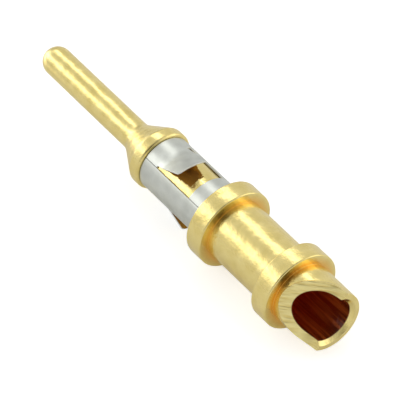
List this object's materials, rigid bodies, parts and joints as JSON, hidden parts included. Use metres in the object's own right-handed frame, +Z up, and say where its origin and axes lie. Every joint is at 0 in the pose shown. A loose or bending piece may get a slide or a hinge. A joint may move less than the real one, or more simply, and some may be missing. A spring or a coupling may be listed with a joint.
{
  "type": "crimp pin contact",
  "caption": "Turned, gold plated pin contact with an obliquely cut wire barrel and a rolled steel retention clip with sprung lances.",
  "frame": {"origin": "middle of the contact's length, on the surface that it lies on", "axes": "+X along the contact's axis from the tip of the pin towards the wire end, +Z up"},
  "size_m": [0.0232, 0.0044, 0.0044],
  "materials": {
    "gold_plate": "bright turned gold plate",
    "spring_steel": "bright rolled sheet"
  },
  "bodies": {
    "root": {"contact_body": "gold_plate", "retention_clip": "spring_steel"}
  },
  "joints": []
}
